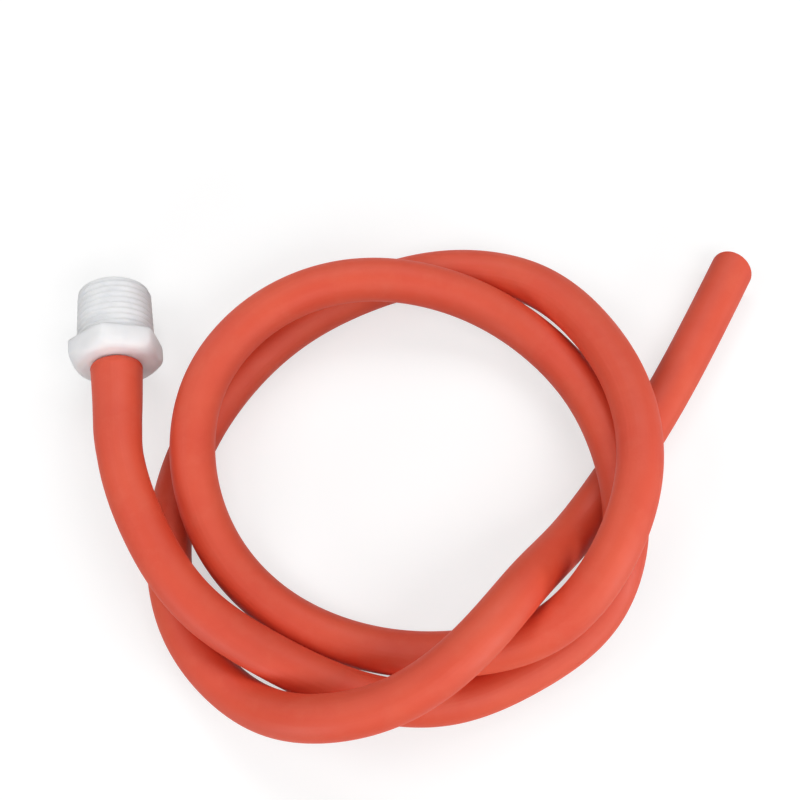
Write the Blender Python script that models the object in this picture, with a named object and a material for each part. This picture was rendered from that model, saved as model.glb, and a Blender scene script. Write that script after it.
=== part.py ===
"""A length of rubber hose lying in loose loops, pushed onto a threaded plastic adapter.

Two pieces, in metres with +Z up, resting on the plane z = 0:
  threaded_adapter  a moulded adapter: hose barb, hexagon and tapered pipe-thread shank
  rubber_hose       the hose, stretched over the barb, looping over itself to a bare end
The adapter points along +Y and the middle of the whole object's footprint is the origin.
"""
import math

import bmesh
import bpy
import numpy as np
from mathutils import Matrix, Vector

MM = 0.001

# The hose: its free section, its way over itself and its cut end.
HOSE_OUTER = 12.0 * MM
HOSE_BORE = 7.0 * MM
HOSE_SINK = 1.2 * MM            # how far a lying strand flattens against the floor
END_SLANT = math.radians(22.0)  # the bare end's upper side is left longer by this angle
END_SKEW = math.radians(8.0)    # and its left side, looking out along it, by this one
END_TRIM = 3.0 * MM             # what the slanted cut takes off at the axis
STRETCH_EASE = 11.0 * MM        # length in which the hose narrows again past the barb
HOSE_SIDES = 12
TUBE_STEP = 12.0 * MM           # spacing of the hose's rings past the barb

# The adapter's barb, which the hose hides.
BARB_LENGTH = 18.0 * MM
BARB_RIDGE = 10.0 * MM          # diameter of the ridge next to the hexagon
BARB_STEP = 0.5 * MM            # how much smaller each next ridge is
BARB_DEPTH = 0.7 * MM           # height of a ridge above the barb's root
BARB_COUNT = 3
BARB_RAMP = 0.75                # share of a ridge's length that slopes up
BARB_CREST = 0.13               # share of it that is the ridge's flat top
BARB_NECK = 3.0 * MM            # plain neck between the ridges and the hexagon
FIT_GAP = 0.3 * MM              # clearance wherever the hose meets the adapter

# The hexagon, its corners trimmed by turning.
HEX_ACROSS = 24.0 * MM          # across the flats
HEX_TRIM = 27.2 * MM            # diameter that the six corners are turned to
HEX_CHAMFER = 2.5 * MM
HEX_THICKNESS = 6.5 * MM
HEX_ROLL = math.radians(5.0)    # the lowest corner stands this far off plumb
TRIM_OVERRUN = 0.003 * MM       # how far the trimming envelope passes the hexagon's faces

# The shank of a tapered half-inch pipe thread, and the passage through it.
THREAD_GAUGE = 20.955 * MM      # major diameter at the gauge plane
THREAD_GAUGE_LENGTH = 8.2 * MM  # from the small end to the gauge plane
THREAD_TAPER = 1.0 / 16.0       # on the diameter
THREAD_LENGTH = 17.0 * MM
THREAD_LEAD = 0.8 * MM          # chamfer at the small end
PASSAGE = 6.0 * MM              # bore through the barb
MOUTH = 14.0 * MM               # wider bore inside the shank
MOUTH_DEPTH = 18.0 * MM
MOUTH_CONE = 4.0 * MM           # length of the cone between the two bores
TURNED_STEPS = 64

# Where the adapter's hexagon meets the hose, in plan.
ADAPTER_X = -85.5 * MM
ADAPTER_Y = 41.5 * MM

# The hose's way from the barb to its bare end: x, y, and height above a lying strand, in mm.
# It leaves the adapter in line with it, for LEAD_IN, before the first of these points.
LEAD_IN = 24.0 * MM
ROUTE_MM = [
    (-80.5, -5.5, 14.5),
    (-69.0, -27.0, 11.5),
    (-51.0, -42.5, 7.0),
    (-30.5, -54.5, 4.5),
    (-7.0, -59.5, 0.5),
    (16.5, -54.0, 0.5),
    (36.0, -42.5, 4.0),
    (46.0, -21.5, 12.0),
    (46.0, 2.5, 12.0),
    (39.0, 25.5, 6.0),
    (24.0, 43.5, 5.0),
    (2.5, 54.0, 10.5),
    (-21.0, 57.0, 13.0),
    (-44.0, 50.5, 12.0),
    (-61.0, 33.0, 12.5),
    (-66.5, 10.0, 12.0),
    (-61.5, -13.0, 6.0),
    (-46.5, -31.5, 1.5),
    (-25.5, -43.0, 1.0),
    (-2.5, -48.0, 7.5),
    (20.5, -45.5, 14.0),
    (38.0, -31.5, 23.0),
    (49.0, -10.5, 26.0),
    (51.5, 13.0, 21.0),
    (46.0, 34.5, 13.0),
    (33.0, 53.0, 4.5),
    (10.0, 61.5, 0.0),
    (-14.0, 58.5, 0.0),
    (-36.5, 49.5, 0.0),
    (-55.5, 34.5, 0.0),
    (-69.5, 15.0, 0.0),
    (-76.5, -8.5, 0.0),
    (-74.0, -32.5, 0.0),
    (-60.5, -51.5, 3.5),
    (-41.5, -60.0, 15.5),
    (-20.0, -58.5, 22.0),
    (2.0, -46.5, 25.0),
    (18.0, -32.5, 17.5),
    (32.5, -20.5, 4.5),
    (48.0, -5.0, 0.0),
    (64.5, 14.0, 0.0),
    (79.0, 33.0, 0.0),
    (94.0, 54.0, 0.0),
]


def clear_scene():
    """Remove whatever objects the file holds."""
    for old in list(bpy.data.objects):
        bpy.data.objects.remove(old, do_unlink=True)


def material(name, colour, roughness):
    """A plain Principled BSDF material."""
    made = bpy.data.materials.new(name)
    made.use_nodes = True
    shader = made.node_tree.nodes["Principled BSDF"]
    shader.inputs["Base Color"].default_value = (*colour, 1.0)
    shader.inputs["Roughness"].default_value = roughness
    shader.inputs["Metallic"].default_value = 0.0
    made.diffuse_color = (*colour, 1.0)
    return made


def link(name, mesh, hidden=False):
    """Put a mesh into the scene under a name; a hidden one only shapes others."""
    made = bpy.data.objects.new(name, mesh)
    bpy.context.scene.collection.objects.link(made)
    if hidden:
        made.hide_render = True
        made.display_type = "WIRE"
    return made


def combine(target, other, operation):
    """Add an exact Boolean modifier that joins, cuts or keeps by another object."""
    step = target.modifiers.new(other.name, "BOOLEAN")
    step.operation = operation
    step.solver = "EXACT"
    step.object = other


def turned(name, profile):
    """A hidden closed solid, turned about local Z from (radius, height) points."""
    shape = bmesh.new()
    chain = [shape.verts.new((radius, 0.0, height)) for radius, height in profile]
    edges = [shape.edges.new(pair) for pair in zip(chain, chain[1:])]
    bmesh.ops.spin(shape, geom=chain + edges, cent=(0.0, 0.0, 0.0), axis=(0.0, 0.0, 1.0),
                   angle=math.tau, steps=TURNED_STEPS, use_duplicate=False)
    bmesh.ops.remove_doubles(shape, verts=shape.verts, dist=0.00001)
    bmesh.ops.recalc_face_normals(shape, faces=shape.faces)
    mesh = bpy.data.meshes.new(name)
    shape.to_mesh(mesh)
    shape.free()
    return link(name, mesh, hidden=True)


def smooth(mesh, angle=35.0):
    """Shade a mesh smooth, but keep edges sharper than the angle."""
    mesh.shade_smooth()
    mesh.set_sharp_from_angle(angle=math.radians(angle))


# ---- threaded adapter ------------------------------------------------------------------

def shank_radius(from_small_end):
    """Major radius of the tapered thread at a distance from its small end."""
    return THREAD_GAUGE / 2 + (from_small_end - THREAD_GAUGE_LENGTH) * THREAD_TAPER / 2


def ridge_radius(index):
    """Radius of a barb ridge; index 0 is the one next to the hexagon."""
    return BARB_RIDGE / 2 - index * BARB_STEP / 2


def barb_profile():
    """Saw-toothed outline of the barb, from its tip up to the hexagon at height 0."""
    pitch = (BARB_LENGTH - BARB_NECK) / BARB_COUNT
    points = [(0.0, -BARB_LENGTH)]
    for index in reversed(range(BARB_COUNT)):
        foot = -BARB_NECK - (index + 1) * pitch
        ridge = ridge_radius(index)
        points.append((ridge - BARB_DEPTH, foot))
        points.append((ridge, foot + BARB_RAMP * pitch))
        points.append((ridge, foot + (BARB_RAMP + BARB_CREST) * pitch))
        points.append((ridge - BARB_DEPTH, foot + pitch))
    return points


def adapter_outline():
    """Outline of the turned body: barb, core inside the hexagon, threaded shank."""
    top = HEX_THICKNESS + THREAD_LENGTH
    root = ridge_radius(0) - BARB_DEPTH
    return barb_profile() + [
        (root, HEX_THICKNESS / 2),
        (shank_radius(THREAD_LENGTH), HEX_THICKNESS / 2),
        (shank_radius(THREAD_LENGTH), HEX_THICKNESS),
        (shank_radius(THREAD_LEAD), top - THREAD_LEAD),
        (shank_radius(0.0) - THREAD_LEAD, top),
        (0.0, top),
    ]


def hexagon():
    """The hexagon: a six-sided prism whose corners a turned envelope trims."""
    shape = bmesh.new()
    corner = HEX_ACROSS / 2 / math.cos(math.radians(30.0))
    bmesh.ops.create_circle(shape, cap_ends=True, segments=6, radius=corner)
    raised = bmesh.ops.extrude_face_region(shape, geom=list(shape.faces))
    lifted = [item for item in raised["geom"] if isinstance(item, bmesh.types.BMVert)]
    bmesh.ops.translate(shape, verts=lifted, vec=(0.0, 0.0, HEX_THICKNESS))
    bmesh.ops.rotate(shape, verts=shape.verts, matrix=Matrix.Rotation(-HEX_ROLL, 3, "Z"))
    bmesh.ops.recalc_face_normals(shape, faces=shape.faces)
    mesh = bpy.data.meshes.new("hexagon_blank")
    shape.to_mesh(mesh)
    shape.free()
    blank = link("hexagon_blank", mesh, hidden=True)
    envelope = turned("hexagon_envelope", [
        (0.0, -TRIM_OVERRUN),
        (HEX_TRIM / 2 - HEX_CHAMFER, -TRIM_OVERRUN),
        (HEX_TRIM / 2, HEX_CHAMFER),
        (HEX_TRIM / 2, HEX_THICKNESS + TRIM_OVERRUN),
        (0.0, HEX_THICKNESS + TRIM_OVERRUN),
    ])
    combine(blank, envelope, "INTERSECT")
    return blank, envelope


def passage():
    """The stepped bore through the adapter, run out past both of its ends."""
    top = HEX_THICKNESS + THREAD_LENGTH
    floor = top - MOUTH_DEPTH
    return turned("adapter_passage", [
        (0.0, -BARB_LENGTH - HOSE_OUTER),
        (PASSAGE / 2, -BARB_LENGTH - HOSE_OUTER),
        (PASSAGE / 2, floor - MOUTH_CONE),
        (MOUTH / 2, floor),
        (MOUTH / 2, top + HOSE_OUTER),
        (0.0, top + HOSE_OUTER),
    ])


def rest_tilt():
    """Nose-down tilt at which the hexagon and the thread's rim both touch the floor."""
    drop = HEX_TRIM / 2 * math.cos(HEX_ROLL) - shank_radius(THREAD_LEAD)
    return math.atan2(drop, THREAD_LENGTH - THREAD_LEAD)


def evaluated_mesh(made):
    """A copy of an object's mesh with its modifiers applied, in local coordinates."""
    graph = bpy.context.evaluated_depsgraph_get()
    return bpy.data.meshes.new_from_object(made.evaluated_get(graph), depsgraph=graph)


def build_adapter():
    """Shape the adapter about local Z, then lay it down on the floor, pointing along +Y."""
    body = turned("adapter_blank", adapter_outline())
    blank, envelope = hexagon()
    bore = passage()
    combine(body, blank, "UNION")
    combine(body, bore, "DIFFERENCE")
    adapter = link("threaded_adapter", evaluated_mesh(body))
    smooth(adapter.data)
    for helper in (body, blank, envelope, bore):
        bpy.data.objects.remove(helper, do_unlink=True)
    turn = Matrix.Rotation(-(math.pi / 2 + rest_tilt()), 4, "X")
    lowest = min((turn @ vertex.co).z for vertex in adapter.data.vertices)
    adapter.matrix_world = Matrix.Translation((ADAPTER_X, ADAPTER_Y, -lowest)) @ turn
    adapter.data.materials.append(material("white_nylon", (0.80, 0.79, 0.76), 0.42))
    return adapter


# ---- rubber hose -----------------------------------------------------------------------

def route_points(adapter):
    """Points of the hose's axis, from the hexagon's face to the bare end."""
    lying = HOSE_OUTER / 2 - HOSE_SINK
    face = adapter.matrix_world.translation
    back = -(adapter.matrix_world.to_3x3() @ Vector((0.0, 0.0, 1.0)))
    lead = [face + back * (LEAD_IN * share) for share in (0.0, 0.5, 1.0)]
    free = [Vector((x * MM, y * MM, z * MM + lying)) for x, y, z in ROUTE_MM]
    return np.array(lead + free)


def cubic_through(points):
    """A natural cubic spline through the points; returns its length and a function."""
    knots = np.concatenate([[0.0], np.cumsum(np.linalg.norm(np.diff(points, axis=0), axis=1))])
    gaps = np.diff(knots)
    count = len(points)
    system = np.eye(count)
    bend = np.zeros((count, 3))
    slope = np.diff(points, axis=0) / gaps[:, None]
    for row in range(1, count - 1):
        system[row, row - 1] = gaps[row - 1]
        system[row, row] = 2 * (gaps[row - 1] + gaps[row])
        system[row, row + 1] = gaps[row]
        bend[row] = 6 * (slope[row] - slope[row - 1])
    second = np.linalg.solve(system, bend)

    def at(distance):
        """Points of the curve at distances along it."""
        cell = np.clip(np.searchsorted(knots, distance, side="right") - 1, 0, count - 2)
        gap = gaps[cell][:, None]
        past = (distance - knots[cell])[:, None]
        left = gap - past
        bow = (second[cell] * left ** 3 + second[cell + 1] * past ** 3) / (6 * gap)
        start = (points[cell] / gap - second[cell] * gap / 6) * left
        return bow + start + (points[cell + 1] / gap - second[cell + 1] * gap / 6) * past

    return knots[-1], at


def stations(length):
    """Distances along the hose at which it has a ring, closer together over the barb."""
    near = np.array([0.0, 0.5, 1.0]) * BARB_LENGTH + FIT_GAP
    first = BARB_LENGTH + STRETCH_EASE
    steps = max(2, round((length - first) / TUBE_STEP))
    middle = BARB_LENGTH + STRETCH_EASE / 2
    return np.concatenate([near, [middle], np.linspace(first, length, steps + 1)])


def bore_radius(distance):
    """Radius of the hose's bore: wide over the barb's ridges, easing back to its own."""
    facet = math.cos(math.pi / HOSE_SIDES)
    share = np.clip(distance / BARB_LENGTH, 0.0, 1.0)
    narrow = ridge_radius(BARB_COUNT - 1)
    ridge = ridge_radius(0) + (narrow - ridge_radius(0)) * share
    over = (ridge + FIT_GAP) / facet
    ease = np.clip((distance - BARB_LENGTH - FIT_GAP) / STRETCH_EASE, 0.0, 1.0)
    ease = ease * ease * (3 - 2 * ease)
    return over + (HOSE_BORE / 2 - over) * ease


def outer_radius(distance):
    """Radius of the hose's outside: the rubber keeps its area of section as it stretches."""
    rubber = (HOSE_OUTER / 2) ** 2 - (HOSE_BORE / 2) ** 2
    return np.sqrt(bore_radius(distance) ** 2 + rubber)


def tube(name, points, radii):
    """A hidden closed tube: a bevelled poly curve through the points, turned to a mesh."""
    curve = bpy.data.curves.new(name, "CURVE")
    curve.dimensions = "3D"
    curve.twist_mode = "Z_UP"
    curve.use_fill_caps = True
    curve.bevel_depth = HOSE_OUTER / 2
    curve.bevel_resolution = (HOSE_SIDES - 4) // 2
    curve.render_resolution_u = 0
    line = curve.splines.new("POLY")
    line.points.add(len(points) - 1)
    for point, place, radius in zip(line.points, points, radii):
        point.co = (*place, 1.0)
        point.radius = radius / curve.bevel_depth
    drawn = link(name, curve, hidden=True)
    mesh = evaluated_mesh(drawn)
    bpy.data.objects.remove(drawn, do_unlink=True)
    shape = bmesh.new()
    shape.from_mesh(mesh)
    bmesh.ops.remove_doubles(shape, verts=shape.verts, dist=0.00001)
    bmesh.ops.recalc_face_normals(shape, faces=shape.faces)
    shape.to_mesh(mesh)
    shape.free()
    return link(name, mesh, hidden=True)


def block(name, size, matrix):
    """A hidden box whose top face lies at the matrix's origin."""
    shape = bmesh.new()
    bmesh.ops.create_cube(shape, size=1.0)
    bmesh.ops.translate(shape, verts=shape.verts, vec=(0.0, 0.0, -0.5))
    bmesh.ops.scale(shape, verts=shape.verts, vec=size)
    mesh = bpy.data.meshes.new(name)
    shape.to_mesh(mesh)
    shape.free()
    made = link(name, mesh, hidden=True)
    made.matrix_world = matrix
    return made


def end_block(points):
    """The block that cuts the bare end, its upper side and its left side left longer."""
    along = Vector(points[-1] - points[-2]).normalized()
    right = along.cross(Vector((0.0, 0.0, 1.0))).normalized()
    upward = right.cross(along)
    inward = upward * math.tan(END_SLANT) - right * math.tan(END_SKEW) - along
    turn = inward.to_track_quat("Z", "Y").to_matrix().to_4x4()
    place = Vector(points[-1]) - along * END_TRIM
    reach = 3 * HOSE_OUTER
    return block("end_cut", (reach, reach, reach), Matrix.Translation(place) @ turn)


def least_gap(points):
    """Least gap between the hose and itself, measured on points a millimetre apart."""
    steps = np.linalg.norm(np.diff(points, axis=0), axis=1)
    knots = np.concatenate([[0.0], np.cumsum(steps)])
    dense = np.linspace(0.0, knots[-1], int(knots[-1] / MM))
    line = np.stack([np.interp(dense, knots, points[:, axis]) for axis in range(3)], axis=1)
    apart = np.linalg.norm(line[:, None] - line[None, :], axis=2)
    distant = np.abs(dense[:, None] - dense[None, :]) > 3 * HOSE_OUTER
    return apart[distant].min() - HOSE_OUTER


def build_hose(adapter):
    """The whole hose: one unbroken tube, bored out, flattened on the floor and trimmed."""
    length, at = cubic_through(route_points(adapter))
    rings = stations(length)
    points = at(rings)
    body = tube("hose_blank", points, outer_radius(rings))
    tip = points[-1] - points[-2]
    mouth = points[0] - points[1]
    run_out = HOSE_OUTER / 2
    longer = np.vstack([
        points[0] + mouth / np.linalg.norm(mouth) * run_out,
        points,
        points[-1] + tip / np.linalg.norm(tip) * run_out,
    ])
    radii = bore_radius(rings)
    bore = tube("hose_bore", longer, np.concatenate([radii[:1], radii, radii[-1:]]))
    reach = 4 * length
    floor = block("floor", (reach, reach, reach), Matrix.Identity(4))
    cut = end_block(points)
    combine(body, bore, "DIFFERENCE")
    combine(body, floor, "DIFFERENCE")
    combine(body, cut, "DIFFERENCE")
    hose = link("rubber_hose", evaluated_mesh(body))
    smooth(hose.data, 50.0)
    hose.data.materials.append(material("red_rubber", (0.60, 0.13, 0.07), 0.45))
    for helper in (body, bore, floor, cut):
        bpy.data.objects.remove(helper, do_unlink=True)
    print("hose length %.1f mm in %d rings" % (length / MM, len(rings)))
    print("least gap of the hose to itself %.2f mm" % (least_gap(points) / MM))
    return hose


def main():
    """Build both pieces in an empty scene."""
    clear_scene()
    adapter = build_adapter()
    print("adapter tilt %.2f degrees, axis %.2f mm above the floor at the hexagon"
          % (math.degrees(rest_tilt()), adapter.matrix_world.translation.z / MM))
    build_hose(adapter)


main()
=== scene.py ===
# %% [markdown]
# # A rubber hose and its threaded adapter
#
# The object is one length of brick-red rubber hose, thrown down in loose loops, with a white
# moulded adapter pushed into one end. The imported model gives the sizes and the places. This
# script gives the looks: the smooth hose, the helical thread, the two materials and the studio.

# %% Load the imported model
import math

import bpy
import numpy as np
from mathutils import Matrix, Vector


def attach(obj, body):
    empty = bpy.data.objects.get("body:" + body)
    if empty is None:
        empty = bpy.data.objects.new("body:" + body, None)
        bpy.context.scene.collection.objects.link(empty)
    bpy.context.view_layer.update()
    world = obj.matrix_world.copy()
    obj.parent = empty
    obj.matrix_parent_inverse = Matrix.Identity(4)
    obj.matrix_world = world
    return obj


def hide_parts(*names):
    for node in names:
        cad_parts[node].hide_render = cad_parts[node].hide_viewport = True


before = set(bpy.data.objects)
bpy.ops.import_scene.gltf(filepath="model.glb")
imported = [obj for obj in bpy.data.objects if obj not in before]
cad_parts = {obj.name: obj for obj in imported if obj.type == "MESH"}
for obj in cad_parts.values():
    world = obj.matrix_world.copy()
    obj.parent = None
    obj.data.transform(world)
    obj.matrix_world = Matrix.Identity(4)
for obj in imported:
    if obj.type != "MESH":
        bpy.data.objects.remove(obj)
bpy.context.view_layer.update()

print("nodes:", sorted(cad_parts))

# %% [markdown]
# ## The camera
#
# The photograph looks steeply down on the loops. A camera could be moved by eye until they line
# up, but two things in the picture fix it better: how wide the hose seems near and far, and how
# round its loops look. It stood about 36 cm above the table and looked down at 74 degrees, a
# little clockwise of the way the adapter points. The lens follows from the picture's width, so
# the camera needs no shift.

# %% Camera
MM = 0.001
CAMERA_HEIGHT = 358.0 * MM
CAMERA_DOWN = math.radians(74.0)      # below the horizon
CAMERA_HEADING = math.radians(7.3)    # clockwise from +Y, seen from above
CAMERA_FOOT = (-21.4 * MM, -75.8 * MM)
FOCAL_TO_WIDTH = 1300.0 / 800.0       # focal length as a share of the picture's width
NEAREST_SEEN = 10.0 * MM

camera_data = bpy.data.cameras.new("table_camera")
camera_data.sensor_fit = "HORIZONTAL"
camera_data.sensor_width = 36.0
camera_data.lens = camera_data.sensor_width * FOCAL_TO_WIDTH
camera_data.clip_start = NEAREST_SEEN
camera = bpy.data.objects.new("table_camera", camera_data)
camera.location = (*CAMERA_FOOT, CAMERA_HEIGHT)
camera.rotation_euler = (math.pi / 2 - CAMERA_DOWN, 0.0, -CAMERA_HEADING)
bpy.context.scene.collection.objects.link(camera)
bpy.context.scene.camera = camera
print("lens %.1f mm" % camera_data.lens)

# %% [markdown]
# ## The way the hose runs
#
# A hose is a circle carried along a path, so the path comes first. A simulated throw would land
# in other loops than the photograph's, so the path is a list of given points, the same list
# that the model's source holds, each with a height above a strand that lies on the table.
# Before it comes the straight stretch that the barb holds in line with the adapter. A natural
# cubic spline runs through all the points: it bends as a thin springy rod would, which is how a
# hose bends.

# %% Route of the hose
ADAPTER_FACE = Vector((-85.5, 41.5, 14.591)) * MM   # middle of the hexagon's hose side
ADAPTER_TILT = math.radians(11.52)                  # nose down, resting on hexagon and rim
LEAD_IN = 24.0 * MM                                 # straight stretch in line with the adapter
LYING = 4.8 * MM                                    # axis of a strand that lies on the table
ROUTE_MM = [
    (-80.5, -5.5, 14.5),
    (-69.0, -27.0, 11.5),
    (-51.0, -42.5, 7.0),
    (-30.5, -54.5, 4.5),
    (-7.0, -59.5, 0.5),
    (16.5, -54.0, 0.5),
    (36.0, -42.5, 4.0),
    (46.0, -21.5, 12.0),
    (46.0, 2.5, 12.0),
    (39.0, 25.5, 6.0),
    (24.0, 43.5, 5.0),
    (2.5, 54.0, 10.5),
    (-21.0, 57.0, 13.0),
    (-44.0, 50.5, 12.0),
    (-61.0, 33.0, 12.5),
    (-66.5, 10.0, 12.0),
    (-61.5, -13.0, 6.0),
    (-46.5, -31.5, 1.5),
    (-25.5, -43.0, 1.0),
    (-2.5, -48.0, 7.5),
    (20.5, -45.5, 14.0),
    (38.0, -31.5, 23.0),
    (49.0, -10.5, 26.0),
    (51.5, 13.0, 21.0),
    (46.0, 34.5, 13.0),
    (33.0, 53.0, 4.5),
    (10.0, 61.5, 0.0),
    (-14.0, 58.5, 0.0),
    (-36.5, 49.5, 0.0),
    (-55.5, 34.5, 0.0),
    (-69.5, 15.0, 0.0),
    (-76.5, -8.5, 0.0),
    (-74.0, -32.5, 0.0),
    (-60.5, -51.5, 3.5),
    (-41.5, -60.0, 15.5),
    (-20.0, -58.5, 22.0),
    (2.0, -46.5, 25.0),
    (18.0, -32.5, 17.5),
    (32.5, -20.5, 4.5),
    (48.0, -5.0, 0.0),
    (64.5, 14.0, 0.0),
    (79.0, 33.0, 0.0),
    (94.0, 54.0, 0.0),
]
adapter_axis = Vector((0.0, math.cos(ADAPTER_TILT), -math.sin(ADAPTER_TILT)))
lead = [np.array(ADAPTER_FACE - adapter_axis * LEAD_IN * share) for share in (0.0, 0.5, 1.0)]
free = [np.array((x * MM, y * MM, z * MM + LYING)) for x, y, z in ROUTE_MM]
route = np.array(lead + free)
print("route points:", len(route))


# %% Spline through the route
def cubic_through(points):
    """Natural cubic spline: between two points the curve is a cubic in the distance, and the
    second derivatives at the points solve one linear system that keeps the bend continuous.
    Returns the total of the straight distances and a function from distance to place."""
    knots = np.concatenate([[0.0], np.cumsum(np.linalg.norm(np.diff(points, axis=0), axis=1))])
    gaps = np.diff(knots)
    slope = np.diff(points, axis=0) / gaps[:, None]
    inner = np.arange(1, len(points) - 1)
    system = np.eye(len(points))
    system[inner, inner - 1] = gaps[:-1]
    system[inner, inner] = 2 * (gaps[:-1] + gaps[1:])
    system[inner, inner + 1] = gaps[1:]
    turn = np.zeros_like(points)
    turn[inner] = 6 * (slope[1:] - slope[:-1])
    second = np.linalg.solve(system, turn)

    def at(distance):
        """Places on the curve at an array of distances."""
        cell = np.clip(np.searchsorted(knots, distance, side="right") - 1, 0, len(gaps) - 1)
        gap = gaps[cell][:, None]
        past = (distance - knots[cell])[:, None]
        left = gap - past
        bow = (second[cell] * left ** 3 + second[cell + 1] * past ** 3) / (6 * gap)
        start = (points[cell] / gap - second[cell] * gap / 6) * left
        return bow + start + (points[cell + 1] / gap - second[cell + 1] * gap / 6) * past

    return knots[-1], at


LENGTH_SAMPLES = 4000
HOSE_SPAN, hose_at = cubic_through(route)
fine = hose_at(np.linspace(0.0, HOSE_SPAN, LENGTH_SAMPLES))
HOSE_LENGTH = float(np.linalg.norm(np.diff(fine, axis=0), axis=1).sum())
print("hose length %.0f mm" % (HOSE_LENGTH / MM))

# %% [markdown]
# ## From a grid of points to a mesh
#
# The hose was pushed through a round die and the adapter was moulded round an axis, so both are
# rings of points, row after row. A bevelled curve and a lathed profile could make them too, but
# one grid of our own takes any radius at any point, and one helper turns it into a mesh. The rows
# close on themselves: the surface goes along the outside, over the end, back through the bore
# and round to where it started, so it has no open edge. The UV map holds the share of the way
# round and the share of the way along, for patterns that follow the piece.


# %% Grid to mesh
def enclosed(grid, quads):
    """Volume inside a closed mesh: the sum over its triangles of a corner's place dotted with
    the cross product of the two sides that leave it, divided by six. It is positive when the
    faces look outward."""
    corners = grid.reshape(-1, 3)[quads]
    fan = np.cross(corners[:, 1] - corners[:, 0], corners[:, 2] - corners[:, 0])
    fan = fan + np.cross(corners[:, 2] - corners[:, 0], corners[:, 3] - corners[:, 0])
    return (corners[:, 0] * fan).sum() / 6


def grid_object(name, grid, along, material):
    """A closed tube-like mesh from a (rows, columns, 3) array. Row i joins row i + 1 and the
    last row joins the first; along is each row's own value for the UV map's second axis."""
    rows, columns, _ = grid.shape
    row = np.repeat(np.arange(rows), columns)
    column = np.tile(np.arange(columns), rows)
    next_row = (row + 1) % rows
    next_column = (column + 1) % columns
    quads = np.stack([row * columns + column, row * columns + next_column,
                      next_row * columns + next_column, next_row * columns + column], axis=1)
    mesh = bpy.data.meshes.new(name)
    mesh.from_pydata(grid.reshape(-1, 3).tolist(), [], quads.tolist())
    around = np.stack([column, column + 1, column + 1, column], axis=1) / columns
    along = np.asarray(along)
    upward = np.stack([along[row], along[row], along[next_row], along[next_row]], axis=1)
    layer = mesh.uv_layers.new(name="UVMap")
    layer.data.foreach_set("uv", np.stack([around, upward], axis=2).astype(np.float32).ravel())
    mesh.shade_smooth()
    mesh.materials.append(material)
    mesh.update()
    made = bpy.data.objects.new(name, mesh)
    bpy.context.scene.collection.objects.link(made)
    print("%s: %d faces, %.1f cm3 enclosed" % (name, len(quads), enclosed(grid, quads) * 1e6))
    return made


# %% [markdown]
# ## Rubber
#
# The hose is extruded, vulcanised rubber coloured with iron-oxide red. Fresh from the die it is
# satin, not glossy: its highlight is broad and soft. Four things keep it from looking like paint.
# The pigment is a little uneven, the die leaves faint lines along the length, a pale bloom comes
# to the surface in patches, and the skin has a very fine grain. A picture of rubber would show
# its seam and repeat itself, so all four are noise textures. The die lines read the UV map, so
# that they follow the hose round its loops.


# %% Colours and nodes
def linear(code):
    """A hex sRGB colour as linear RGBA: the sRGB curve undone channel by channel."""
    channels = [int(code[place:place + 2], 16) / 255 for place in (1, 3, 5)]
    straight = [c / 12.92 if c <= 0.04045 else ((c + 0.055) / 1.055) ** 2.4 for c in channels]
    return (*straight, 1.0)


def add_node(tree, kind, sockets=None, **settings):
    """Add a node, set its properties, and give each listed socket a value or a link."""
    made = tree.nodes.new("ShaderNode" + kind)
    for key, value in settings.items():
        setattr(made, key, value)
    for key, value in (sockets or {}).items():
        if isinstance(value, bpy.types.NodeSocket):
            tree.links.new(value, made.inputs[key])
        else:
            made.inputs[key].default_value = value
    return made


def new_material(name):
    """A material whose node tree is empty but for its output."""
    made = bpy.data.materials.new(name)
    made.use_nodes = True
    made.node_tree.nodes.clear()
    return made, made.node_tree, add_node(made.node_tree, "OutputMaterial")


print("half grey in linear light: %.3f" % linear("#808080")[0])

# %% Vulcanised rubber
HOSE_OUTER = 12.0 * MM
PIGMENT_PATCH = 22.0 * MM     # width of a patch of uneven pigment
PIGMENT = ((0.30, "#D6462B"), (0.72, "#DF5537"))   # share of the noise, and its colour there
BLOOM_PATCH = 7.0 * MM
BLOOM = "#E67C64"
BLOOM_MOST = 0.16             # share of the bloom's colour where it is thickest
RUBBER_SATIN = 0.52           # roughness where the skin is bare
RUBBER_DULL = 0.64            # and under the bloom
GRAIN = 0.7 * MM              # the real grain is finer; this is what the picture can show
GRAIN_HEIGHT = 0.05 * MM
DIE_LINE = 1.1 * MM           # distance between die lines round the hose
DIE_LINE_RUN = 160.0 * MM     # how far one runs before it fades
DIE_LINE_HEIGHT = 0.12 * MM

rubber, tree, output = new_material("vulcanised_rubber_extruded")
place = add_node(tree, "TexCoord").outputs["Object"]
around = add_node(tree, "UVMap", uv_map="UVMap").outputs["UV"]
pigment = add_node(tree, "TexNoise", {"Vector": place, "Scale": 1 / PIGMENT_PATCH, "Detail": 4.0})
grain = add_node(tree, "TexNoise", {"Vector": place, "Scale": 1 / GRAIN, "Detail": 2.0})
bloom = add_node(tree, "TexNoise", {"Vector": place, "Scale": 1 / BLOOM_PATCH, "Detail": 5.0,
                                    "Roughness": 0.6})
strip = add_node(tree, "Mapping", {"Vector": around, "Scale": (
    math.pi * HOSE_OUTER / DIE_LINE, HOSE_LENGTH / DIE_LINE_RUN, 1.0)})
lines = add_node(tree, "TexNoise", {"Vector": strip.outputs[0], "Scale": 1.0, "Detail": 2.0})

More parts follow.
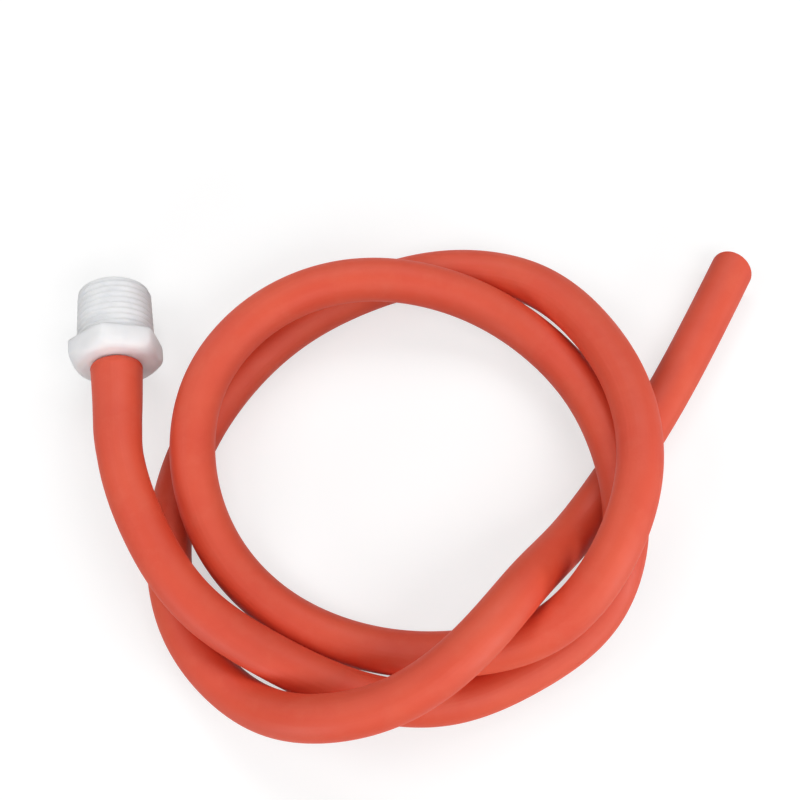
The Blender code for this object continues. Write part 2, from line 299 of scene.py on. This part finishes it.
tone = add_node(tree, "ValToRGB", {"Fac": pigment.outputs["Fac"]})
for stop, (position, code) in zip(tone.color_ramp.elements, PIGMENT):
    stop.position = position
    stop.color = linear(code)
veil = add_node(tree, "MapRange", {"Value": bloom.outputs["Fac"], "From Min": 0.50,
                                   "From Max": 0.75, "To Min": 0.0, "To Max": BLOOM_MOST})
skin = add_node(tree, "Mix", {0: veil.outputs["Result"], 6: tone.outputs["Color"],
                              7: linear(BLOOM)}, data_type="RGBA")
dull = add_node(tree, "MapRange", {"Value": bloom.outputs["Fac"], "From Min": 0.3,
                                   "From Max": 0.7, "To Min": RUBBER_SATIN,
                                   "To Max": RUBBER_DULL})
fine_bump = add_node(tree, "Bump", {"Height": grain.outputs["Fac"], "Strength": 0.35,
                                    "Distance": GRAIN_HEIGHT})
line_bump = add_node(tree, "Bump", {"Height": lines.outputs["Fac"], "Strength": 0.5,
                                    "Distance": DIE_LINE_HEIGHT, "Normal": fine_bump.outputs[0]})
shader = add_node(tree, "BsdfPrincipled", {
    "Base Color": skin.outputs[2], "Roughness": dull.outputs["Result"], "IOR": 1.52,
    "Metallic": 0.0, "Normal": line_bump.outputs[0]})
tree.links.new(shader.outputs[0], output.inputs["Surface"])
print("material:", rubber.name)

# %% [markdown]
# ## The hose
#
# Each row of the hose's surface has a distance along the path and a radius, and the circle stands
# square to the path there, one side level and the other up. Past the bare end the rows turn over
# a small rounded lip and come back through the bore. Over the barb the bore is stretched wide,
# and the wall follows, because rubber keeps the area of its section. The bare end was cut out of
# square. Where a strand lies on the table the rubber gives way and goes flat. Separate tubes for
# these places would need joints; as formulas of the distance they leave the hose in one piece.

# %% Section of the hose
HOSE_BORE = 7.0 * MM
BARB_LENGTH = 18.0 * MM
STRETCH_EASE = 11.0 * MM       # length in which the hose narrows again past the barb
WIDE_BORE = 5.24 * MM          # radius of the bore at the hexagon
NARROW_BORE = 4.34 * MM        # and at the barb's tip: between them it hugs each ridge
PROUD = 0.12 * MM              # added to the free hose, to narrow the gaps between strands


def past_barb(distance):
    """Share of the way through the ease behind the barb, 0 over the barb and 1 past the ease."""
    return np.clip((distance - BARB_LENGTH) / STRETCH_EASE, 0.0, 1.0)


def bore_radius(distance):
    """Radius of the bore: a straight taper along the barb, then an S-shaped ease to the free
    bore (3t^2 - 2t^3 of the share t of the way through the ease)."""
    share = np.clip(distance / BARB_LENGTH, 0.0, 1.0)
    over = WIDE_BORE + (NARROW_BORE - WIDE_BORE) * share
    ease = past_barb(distance)
    ease = ease * ease * (3 - 2 * ease)
    return over + (HOSE_BORE / 2 - over) * ease


def outer_radius(distance):
    """Outer radius: the root of the bore's radius squared plus the difference between the
    squares of the free hose's two radii, plus the hair's breadth that narrows the gaps."""
    wall = (HOSE_OUTER / 2) ** 2 - (HOSE_BORE / 2) ** 2
    return np.sqrt(bore_radius(distance) ** 2 + wall) + PROUD * past_barb(distance)


print("over the barb %.1f mm, free %.1f mm" % (2 * outer_radius(0.0) / MM, HOSE_OUTER / MM))

# %% Rows of the hose
RING_STEP = 1.3 * MM           # between rows outside, where they show
BORE_STEP = 9.0 * MM           # and between rows in the bore
LIP = 0.35 * MM                # rounding of both edges of the bare end
MOUTH_LIP = 0.9 * MM           # and of the end that is pushed up to the hexagon
LIP_ROWS = 7
END_TRIM = 3.0 * MM            # what the slanted cut takes off at the axis
START = 0.15 * MM              # just clear of the hexagon
SAME = 1e-7                    # rows closer together than this are one row

finish_at = HOSE_SPAN - END_TRIM
quarter = np.linspace(0.0, math.pi / 2, LIP_ROWS)
rise = np.sin(quarter)
fall = np.cos(quarter)
outside = np.linspace(START + MOUTH_LIP, finish_at - LIP, round(HOSE_SPAN / RING_STEP))
inside = np.linspace(finish_at - LIP, START + MOUTH_LIP, round(HOSE_SPAN / BORE_STEP))
end_outer = float(outer_radius(finish_at))
end_inner = float(bore_radius(finish_at))
mouth_outer = float(outer_radius(START))
mouth_inner = float(bore_radius(START))
row_distance = np.concatenate([
    outside, finish_at - LIP + LIP * rise, finish_at - LIP + LIP * fall,
    inside, START + MOUTH_LIP - MOUTH_LIP * rise, START + MOUTH_LIP - MOUTH_LIP * fall])
row_radius = np.concatenate([
    outer_radius(outside), end_outer - LIP + LIP * fall, end_inner + LIP - LIP * rise,
    bore_radius(inside), mouth_inner + MOUTH_LIP - MOUTH_LIP * fall,
    mouth_outer - MOUTH_LIP + MOUTH_LIP * rise])
keep = np.append(True, np.hypot(np.diff(row_distance), np.diff(row_radius)) > SAME)
row_distance = row_distance[keep]
row_radius = row_radius[keep]
print("rows:", len(row_distance))

# %% Carry the section along the path
HOSE_COLUMNS = 48
AIM_STEP = 0.05 * MM                       # looked ahead and back to find the way along
END_SLANT = math.tan(math.radians(22.0))   # the upper side of the bare end is left longer
END_SKEW = math.tan(math.radians(8.0))     # and so is its left side
SLANT_REACH = 2 * HOSE_OUTER               # length over which the rows turn to the slant
FLOOR_SOFTNESS = 0.2 * MM


def path_frames(distance):
    """Place, way along, level side way and upward way at each distance. The side way is the
    way along crossed with the vertical, so that the section never rolls."""
    inner = np.clip(distance, AIM_STEP, HOSE_SPAN - AIM_STEP)
    ahead = hose_at(inner + AIM_STEP) - hose_at(inner - AIM_STEP)
    ahead /= np.linalg.norm(ahead, axis=1)[:, None]
    side = np.cross(ahead, (0.0, 0.0, 1.0))
    side /= np.linalg.norm(side, axis=1)[:, None]
    return hose_at(distance), ahead, side, np.cross(side, ahead)


def hose_grid(distance, radius, columns):
    """Each point is the path's place plus radius times (side cos a + up sin a). Close to the
    bare end it also slides along the path, by the slant times its height on the section less
    the skew times its way to the right. The table is a soft floor: a height z becomes
    s log(1 + exp(z / s)), where s is the floor's softness."""
    place, ahead, side, up = path_frames(distance)
    angle = -math.pi / 2 - np.arange(columns) / columns * math.tau
    sideways = radius[:, None] * np.cos(angle)
    upward = radius[:, None] * np.sin(angle)
    near_end = np.clip(1 - (finish_at - distance) / SLANT_REACH, 0.0, 1.0) ** 2
    slide = near_end[:, None] * (END_SLANT * upward - END_SKEW * sideways)
    grid = (place[:, None] + side[:, None] * sideways[..., None]
            + up[:, None] * upward[..., None] + ahead[:, None] * slide[..., None])
    grid[..., 2] = FLOOR_SOFTNESS * np.logaddexp(0.0, grid[..., 2] / FLOOR_SOFTNESS)
    return grid


hose = grid_object("rubber_hose_surface", hose_grid(row_distance, row_radius, HOSE_COLUMNS),
                   row_distance / HOSE_SPAN, rubber)
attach(hose, "root")
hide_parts("rubber_hose")
hose_path = [tuple(float(c) for c in point) for point in hose_at(outside)]

# %% [markdown]
# ## Moulded plastic
#
# The adapter is natural white nylon, moulded in one shot. A plain white surface would look like
# chalk. Light goes a few millimetres into nylon, which softens its edges, fills the grooves of
# its thread and lets some of the hose's red glow in it, so the shader has subsurface scattering.
# The mould was polished, but the surface still has a slight unevenness from the flow.

# %% White nylon
NYLON = ((0.25, "#ECEDF0"), (0.75, "#F6F6F7"))
NYLON_SMOOTH = 0.34           # roughness at its least
NYLON_DULL = 0.44             # and at its most
FLOW_PATCH = 6.0 * MM
FLOW_HEIGHT = 0.15 * MM
SKIN_GRAIN = 0.5 * MM
SKIN_HEIGHT = 0.03 * MM
LIGHT_SHARE = 0.8             # share of the light that goes into the plastic
LIGHT_REACH = 4.0 * MM        # and how far it goes
LIGHT_BY_COLOUR = (1.0, 0.95, 0.9)   # red light goes furthest, blue light least far

nylon, tree, output = new_material("white_nylon_moulded")
place = add_node(tree, "TexCoord").outputs["Object"]
flow = add_node(tree, "TexNoise", {"Vector": place, "Scale": 1 / FLOW_PATCH, "Detail": 3.0})
pores = add_node(tree, "TexNoise", {"Vector": place, "Scale": 1 / SKIN_GRAIN, "Detail": 2.0})
tone = add_node(tree, "ValToRGB", {"Fac": flow.outputs["Fac"]})
for stop, (position, code) in zip(tone.color_ramp.elements, NYLON):
    stop.position = position
    stop.color = linear(code)
gloss = add_node(tree, "MapRange", {"Value": flow.outputs["Fac"], "From Min": 0.3,
                                    "From Max": 0.7, "To Min": NYLON_SMOOTH,
                                    "To Max": NYLON_DULL})
skin_bump = add_node(tree, "Bump", {"Height": pores.outputs["Fac"], "Strength": 0.25,
                                    "Distance": SKIN_HEIGHT})
flow_bump = add_node(tree, "Bump", {"Height": flow.outputs["Fac"], "Strength": 0.3,
                                    "Distance": FLOW_HEIGHT, "Normal": skin_bump.outputs[0]})
shader = add_node(tree, "BsdfPrincipled", {
    "Base Color": tone.outputs["Color"], "Roughness": gloss.outputs["Result"], "IOR": 1.53,
    "Metallic": 0.0, "Subsurface Weight": LIGHT_SHARE, "Subsurface Radius": LIGHT_BY_COLOUR,
    "Subsurface Scale": LIGHT_REACH, "Normal": flow_bump.outputs[0]})
tree.links.new(shader.outputs[0], output.inputs["Surface"])
print("material:", nylon.name)

# %% [markdown]
# ## The adapter
#
# One outline carries the whole moulding round its axis: up the barb's three ridges, out over the
# hexagon, along the threaded shank, over its end and back down the stepped bore. Two things are
# not round. On the hexagon the outline is held in by six flats, and on the shank a groove winds
# round it. A hexagon and a thread could be cut with Booleans, which leave ragged edges. Both are
# formulas of the angle, so the same grid holds them: no cutting is needed, and the edges are
# soft, as a mould leaves them.

# %% Sizes of the adapter
BARB_RIDGES = (4.5 * MM, 4.75 * MM, 5.0 * MM)   # radii, from the tip to the hexagon
BARB_DEPTH = 0.7 * MM
BARB_NECK = 3.0 * MM           # plain neck between the ridges and the hexagon
BARB_RAMP = 0.75               # share of a ridge's length at which its slope ends
BARB_CREST = 0.88              # and at which its flat top ends
HEX_ACROSS = 24.0 * MM
HEX_TRIM = 27.2 * MM           # diameter to which the corners are turned down
HEX_CHAMFER = 2.5 * MM
HEX_THICKNESS = 6.5 * MM
HEX_LEAN = math.radians(5.0 - 60.0)   # from the first flat of the formula to the real one
THREAD_PITCH = 25.4 / 14 * MM  # fourteen turns to the inch
THREAD_DEPTH = 0.45 * MM       # shallow, about a third of a cut thread's
THREAD_GAUGE = 20.955 * MM
THREAD_GAUGE_LENGTH = 8.2 * MM
THREAD_TAPER = 1.0 / 16.0
THREAD_LENGTH = 17.0 * MM
THREAD_LEAD = 0.8 * MM
THREAD_NECK = 1.4 * MM         # plain neck between the last groove and the hexagon
PASSAGE = 6.0 * MM             # bore through the barb
MOUTH = 14.0 * MM              # bore at the open end of the shank
MOUTH_DEPTH = 18.0 * MM
MOUTH_CONE = 4.0 * MM
ADAPTER_TOP = HEX_THICKNESS + THREAD_LENGTH
print("thread turns %.1f" % (THREAD_LENGTH / THREAD_PITCH))

# %% Outline with rounded corners
ARC_POINTS = 6
MOST_OF_RUN = 0.45             # an arc takes up less than half of the run beside it


def rounded_outline(corners, fillet, step):
    """Points along a chain of straight runs whose corners are cut by arcs. At each corner the
    arc is the quadratic curve from a fillet's length before it to the same length after it."""
    corners = np.array(corners)
    points = [corners[:1]]
    for before, corner, after in zip(corners, corners[1:], corners[2:]):
        back = before - corner
        on = after - corner
        reach = min(fillet, np.linalg.norm(back) * MOST_OF_RUN, np.linalg.norm(on) * MOST_OF_RUN)
        enter = corner + back / np.linalg.norm(back) * reach
        leave = corner + on / np.linalg.norm(on) * reach
        share = np.linspace(0.0, 1.0, ARC_POINTS)[:, None]
        points.append(enter * (1 - share) ** 2 + corner * 2 * share * (1 - share)
                      + leave * share ** 2)
    points.append(corners[-1:])
    chain = np.vstack(points)
    filled = []
    for start, end in zip(chain, chain[1:]):
        count = max(1, math.ceil(np.linalg.norm(end - start) / step))
        share = np.arange(count)[:, None] / count
        filled.append(start + (end - start) * share)
    return np.vstack(filled)


def shank_radius(height):
    """Crest radius of the tapered thread at a height above the hexagon's hose side."""
    return THREAD_GAUGE / 2 + (ADAPTER_TOP - height - THREAD_GAUGE_LENGTH) * THREAD_TAPER / 2


print("shank at the hexagon %.1f mm across" % (2 * shank_radius(HEX_THICKNESS) / MM))

# %% Rows of the adapter
SMALL_FILLET = 0.3 * MM        # at the barb and in the bore
HEX_FILLET = 1.4 * MM
SHANK_FILLET = 0.6 * MM
HEX_ROW = 0.4 * MM             # distance between rows on the barb and the hexagon
THREAD_ROW = THREAD_PITCH / 14
BORE_ROW = 1.0 * MM

pitch = (BARB_LENGTH - BARB_NECK) / len(BARB_RIDGES)
barb = [(PASSAGE / 2, -BARB_LENGTH)]
for index, ridge in enumerate(BARB_RIDGES):
    foot = -BARB_LENGTH + index * pitch
    barb += [(ridge - BARB_DEPTH, foot), (ridge, foot + BARB_RAMP * pitch),
             (ridge, foot + BARB_CREST * pitch), (ridge - BARB_DEPTH, foot + pitch)]
hexagon = [(BARB_RIDGES[-1] - BARB_DEPTH, 0.0), (HEX_TRIM / 2 - HEX_CHAMFER, 0.0),
           (HEX_TRIM / 2, HEX_CHAMFER), (HEX_TRIM / 2, HEX_THICKNESS)]
shank = [(shank_radius(HEX_THICKNESS), HEX_THICKNESS),
         (shank_radius(ADAPTER_TOP - THREAD_LEAD), ADAPTER_TOP - THREAD_LEAD),
         (shank_radius(ADAPTER_TOP) - THREAD_LEAD, ADAPTER_TOP), (MOUTH / 2, ADAPTER_TOP)]
bore = [(MOUTH / 2, ADAPTER_TOP - MOUTH_DEPTH),
        (PASSAGE / 2, ADAPTER_TOP - MOUTH_DEPTH - MOUTH_CONE), (PASSAGE / 2, -BARB_LENGTH)]
outline = np.vstack([
    rounded_outline(barb + hexagon[:1], SMALL_FILLET, HEX_ROW),
    rounded_outline(hexagon, HEX_FILLET, HEX_ROW),
    rounded_outline(hexagon[-1:] + shank, SHANK_FILLET, THREAD_ROW),
    rounded_outline(shank[-1:] + bore, SMALL_FILLET, BORE_ROW)])
print("outline rows:", len(outline))


# %% Flats and thread
def soft_min(first, second, round_off):
    """The lesser of two numbers with the crease between them rounded: half their sum less half
    the root of their difference squared plus the rounding squared."""
    return (first + second - np.sqrt((first - second) ** 2 + round_off ** 2)) / 2


def hexagon_radius(angle):
    """Distance from the axis to the flats: half the size across them over the cosine of the
    angle from the middle of the nearest flat."""
    sector = math.tau / 6
    off = np.mod(angle + sector / 2, sector) - sector / 2
    return HEX_ACROSS / 2 / np.cos(off)


def thread_groove(height, angle):
    """Depth of the groove: a rounded V that climbs one pitch in each turn, right-handed. It
    fades out in the neck by the hexagon and on the chamfer at the end."""
    phase = np.mod(height / THREAD_PITCH - angle / math.tau, 1.0)
    vee = 1 - np.abs(2 * phase - 1)
    vee = vee * vee * (3 - 2 * vee)
    fade = np.clip((height - HEX_THICKNESS - THREAD_NECK / 2) / THREAD_NECK, 0.0, 1.0)
    fade = fade * np.clip((ADAPTER_TOP - height) / THREAD_LEAD, 0.0, 1.0)
    return THREAD_DEPTH * vee * fade


print("hexagon over sharp corners %.1f mm" % (2 * hexagon_radius(math.tau / 12) / MM))

# %% Build the adapter
ADAPTER_COLUMNS = 240
HEX_ROUND = 0.9 * MM           # softening of the hexagon's upright edges
BORE_CLEAR = 0.5 * MM          # the groove stays this far from the bore's wall
TOUCH = 1e-6                   # rows this close to a face belong to it

radius = outline[:, 0][:, None]
height = outline[:, 1][:, None]
angle = (np.arange(ADAPTER_COLUMNS) / ADAPTER_COLUMNS * math.tau)[None, :]
flats = hexagon_radius(angle + HEX_LEAN)
shank_foot = shank_radius(HEX_THICKNESS)
on_hexagon = (height > -TOUCH) & (height < HEX_THICKNESS + TOUCH) & (radius > shank_foot)
rim = soft_min(HEX_TRIM / 2, flats, HEX_ROUND)
top_face = (shank_foot + (rim - shank_foot) * (radius - shank_foot)
            / (HEX_TRIM / 2 - shank_foot))
held_in = np.where(height > HEX_THICKNESS - TOUCH, top_face, soft_min(radius, flats, HEX_ROUND))
on_shank = (height > HEX_THICKNESS) & (radius > MOUTH / 2 + BORE_CLEAR)
surface = np.where(on_hexagon, held_in, radius + 0 * angle)
surface = surface - np.where(on_shank, thread_groove(height, angle), 0.0)
local = np.stack([surface * np.cos(angle), surface * np.sin(angle), height + 0 * angle], axis=2)
lay_down = Matrix.Rotation(-(math.pi / 2 + ADAPTER_TILT), 3, "X")
grid = local @ np.array(lay_down).T + np.array(ADAPTER_FACE)
adapter = grid_object("adapter_moulding", grid, np.linspace(0.0, 1.0, len(outline)), nylon)
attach(adapter, "root")
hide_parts("threaded_adapter")

# %% [markdown]
# ## Table and light
#
# The photograph has a plain white ground and soft light from all round. A bright world alone
# would give that light, but it would make the hose look flat. So nine square lamps stand round
# the object, five high and four low: each strand is brightest on its outer side, as in the
# picture. The table is matt and pale, and the camera sees it nearly white, with a soft shadow.
# The camera, shiny skins and anything clear see a white world. All other light finds the world
# nearly dark, so that the lamps alone shape the object.


# %% Ground helpers
def seen_directly(tree):
    """1 for rays from the camera, a glossy skin or something clear, 0 for all other rays."""
    rays = add_node(tree, "LightPath").outputs
    seen = add_node(tree, "Math", {0: rays["Is Camera Ray"], 1: rays["Is Glossy Ray"]},
                    operation="MAXIMUM")
    return add_node(tree, "Math", {0: seen.outputs[0], 1: rays["Is Transmission Ray"]},
                    operation="MAXIMUM").outputs[0]


def stage_plane(name, half, material):
    """A square of ground, centred on the origin."""
    mesh = bpy.data.meshes.new(name)
    mesh.from_pydata([(-half, -half, 0.0), (half, -half, 0.0), (half, half, 0.0),
                      (-half, half, 0.0)], [], [(0, 1, 2, 3)])
    mesh.materials.append(material)
    made = bpy.data.objects.new(name, mesh)
    bpy.context.scene.collection.objects.link(made)


# %% Table
TABLE_HALF = 3.0               # metres from the middle to an edge
TABLE_SEEN = "#B8B8B8"
TABLE_BOUNCE = "#4C4A48"       # what the light meets that bounces on to the object
NEAR = 0.20                    # metres from the middle up to which the table glows least
FAR = 0.60                     # and from which it is white
NEAR_GLOW = 0.60
WHITE = (1.0, 1.0, 1.0, 1.0)

table, tree, output = new_material("matt_white_table")
pale = add_node(tree, "BsdfDiffuse", {"Color": linear(TABLE_SEEN)})
place = add_node(tree, "TexCoord").outputs["Object"]
away = add_node(tree, "VectorMath", {0: place}, operation="LENGTH")
glow = add_node(tree, "MapRange", {"Value": away.outputs["Value"], "From Min": NEAR,
                                   "From Max": FAR, "To Min": NEAR_GLOW, "To Max": 1.0})
lift = add_node(tree, "Emission", {"Color": WHITE, "Strength": glow.outputs["Result"]})
shown = add_node(tree, "AddShader", {0: pale.outputs[0], 1: lift.outputs[0]})
quiet = add_node(tree, "BsdfDiffuse", {"Color": linear(TABLE_BOUNCE)})
blend = add_node(tree, "MixShader", {0: seen_directly(tree), 1: quiet.outputs[0],
                                     2: shown.outputs[0]})
tree.links.new(blend.outputs[0], output.inputs["Surface"])
stage_plane("table", TABLE_HALF, table)
print("material:", table.name)

# %% World
WORLD_FILL = 0.02              # strength of the world for all the light that isn't seen

world = bpy.data.worlds.new("studio")
bpy.context.scene.world = world
world.use_nodes = True
tree = world.node_tree
tree.nodes.clear()
fill = add_node(tree, "Background", {"Color": WHITE, "Strength": WORLD_FILL})
white = add_node(tree, "Background", {"Color": WHITE, "Strength": 1.0})
blend = add_node(tree, "MixShader", {0: seen_directly(tree), 1: fill.outputs[0],
                                     2: white.outputs[0]})
add_node(tree, "OutputWorld", {"Surface": blend.outputs[0]})
print("world nodes:", len(tree.nodes))


# %% Lamps
def soft_lamp(name, place, size, watts):
    """A square area lamp that faces the middle of the object and that no camera sees."""
    data = bpy.data.lights.new(name, "AREA")
    data.shape = "SQUARE"
    data.size = size
    data.energy = watts
    made = bpy.data.objects.new(name, data)
    made.location = place
    made.rotation_euler = (-Vector(place)).to_track_quat("-Z", "Y").to_euler()
    made.visible_camera = False
    bpy.context.scene.collection.objects.link(made)


HIGH = (0.42, 0.50, 0.30)      # metres out from the middle, metres up, width
LOW = (0.50, 0.12, 0.20)
LAMPS = (("back", 90.0, HIGH, 1.04), ("back_right", 45.0, HIGH, 0.80),
         ("left", 170.0, HIGH, 0.88), ("front", 270.0, HIGH, 0.78),
         ("front_right", 315.0, HIGH, 0.84), ("low_front_right", 315.0, LOW, 0.95),
         ("low_front_left", 225.0, LOW, 0.80), ("low_right", 0.0, LOW, 0.30),
         ("low_back_left", 135.0, LOW, 0.25))
for lamp, heading, (out, up, width), watts in LAMPS:
    heading = math.radians(heading)
    soft_lamp(lamp + "_lamp", (out * math.cos(heading), out * math.sin(heading), up), width, watts)

bpy.context.scene.view_settings.view_transform = "Standard"
print("lamps: %d, %.2f W in all" % (len(LAMPS), sum(watts for *_, watts in LAMPS)))
